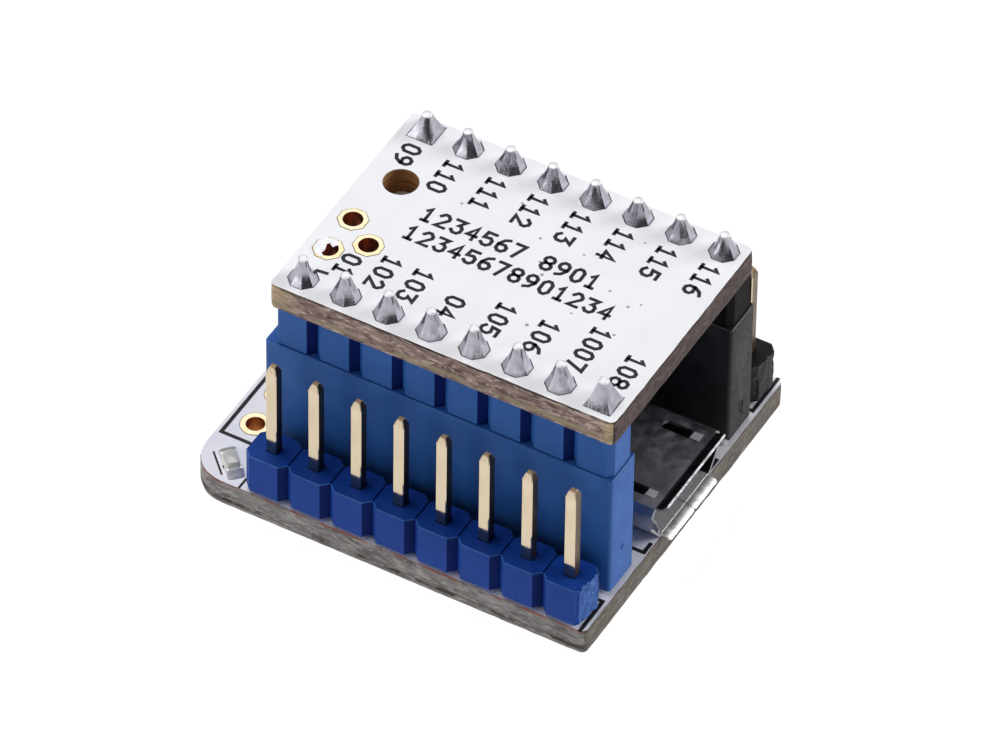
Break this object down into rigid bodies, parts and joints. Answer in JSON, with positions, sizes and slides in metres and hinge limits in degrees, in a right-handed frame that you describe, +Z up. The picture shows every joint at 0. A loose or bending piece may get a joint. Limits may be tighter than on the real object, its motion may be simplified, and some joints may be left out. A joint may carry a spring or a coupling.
{
  "type": "stepper driver module on a usb carrier board",
  "caption": "Plug-in stepper driver board with soldered pin rows and a trimmer, standing in sockets on a white carrier board with outer pin rows and a micro-USB receptacle.",
  "frame": {"origin": "middle of the outline, on the plane of the solder-tail tips that the part stands on", "axes": "+X along the pin rows towards the USB mouth, +Y from the blue row to the black row, +Z up through the driver board"},
  "size_m": [0.0248, 0.0214, 0.0167],
  "materials": {
    "white_solder_mask": "satin white solder mask on brown glass-epoxy laminate",
    "blue_plastic": "satin moulded blue",
    "black_plastic": "satin moulded black",
    "gold_plate": "pale gold plating",
    "solder": "bright solder",
    "tinned_steel": "smooth tinned sheet",
    "trimmer_ceramic": "matt",
    "capacitor_ceramic": "satin tan with tinned ends",
    "resistor_coat": "black coat with tinned ends",
    "chip_moulding": "matt black moulding",
    "clear_lens": "clear epoxy"
  },
  "bodies": {
    "carrier": {"near_socket": "blue_plastic", "near_pin_header": "blue_plastic", "near_carrier_pin_1": "gold_plate", "near_carrier_pin_2": "gold_plate", "near_carrier_pin_3": "gold_plate", "near_carrier_pin_4": "gold_plate", "near_carrier_pin_5": "gold_plate", "near_carrier_pin_6": "gold_plate", "near_carrier_pin_7": "gold_plate", "near_carrier_pin_8": "gold_plate", "far_socket": "black_plastic", "far_pin_header": "black_plastic", "far_carrier_pin_1": "gold_plate", "far_carrier_pin_2": "gold_plate", "far_carrier_pin_3": "gold_plate", "far_carrier_pin_4": "gold_plate", "far_carrier_pin_5": "gold_plate", "far_carrier_pin_6": "gold_plate", "far_carrier_pin_7": "gold_plate", "far_carrier_pin_8": "gold_plate", "carrier_board": "white_solder_mask", "usb_shell": "tinned_steel", "usb_tongue": "black_plastic", "indicator_led": "clear_lens", "led_resistor": "resistor_coat", "serial_resistor": "resistor_coat", "bridge_chip": "chip_moulding", "bridge_capacitor": "capacitor_ceramic", "usb_capacitor": "capacitor_ceramic"},
    "driver_module": {"driver_board": "white_solder_mask", "near_driver_header": "blue_plastic", "far_driver_header": "black_plastic", "near_driver_pin_1": "solder", "near_driver_pin_2": "solder", "near_driver_pin_3": "solder", "near_driver_pin_4": "solder", "near_driver_pin_5": "solder", "near_driver_pin_6": "solder", "near_driver_pin_7": "solder", "near_driver_pin_8": "solder", "far_driver_pin_1": "solder", "far_driver_pin_2": "solder", "far_driver_pin_3": "solder", "far_driver_pin_4": "solder", "far_driver_pin_5": "solder", "far_driver_pin_6": "solder", "far_driver_pin_7": "solder", "far_driver_pin_8": "solder", "driver_chip": "chip_moulding", "trimmer_body": "trimmer_ceramic", "sense_resistor_1": "resistor_coat", "sense_resistor_2": "resistor_coat", "supply_capacitor_1": "capacitor_ceramic", "supply_capacitor_2": "capacitor_ceramic", "logic_capacitor": "capacitor_ceramic", "pump_capacitor": "capacitor_ceramic"},
    "trimmer_rotor": {"trimmer_rotor": "tinned_steel"}
  },
  "joints": [
    {"name": "driver_unplug", "type": "slide", "parent": "carrier", "child": "driver_module", "axis": [0, 0, 1], "range_m": [0, 0.006]},
    {"name": "trimmer_turn", "type": "hinge", "parent": "driver_module", "child": "trimmer_rotor", "pos_m": [-0.00681, 0.00221, 0.01348], "axis": [0, 0, 1], "range_deg": [-115, 115]}
  ]
}
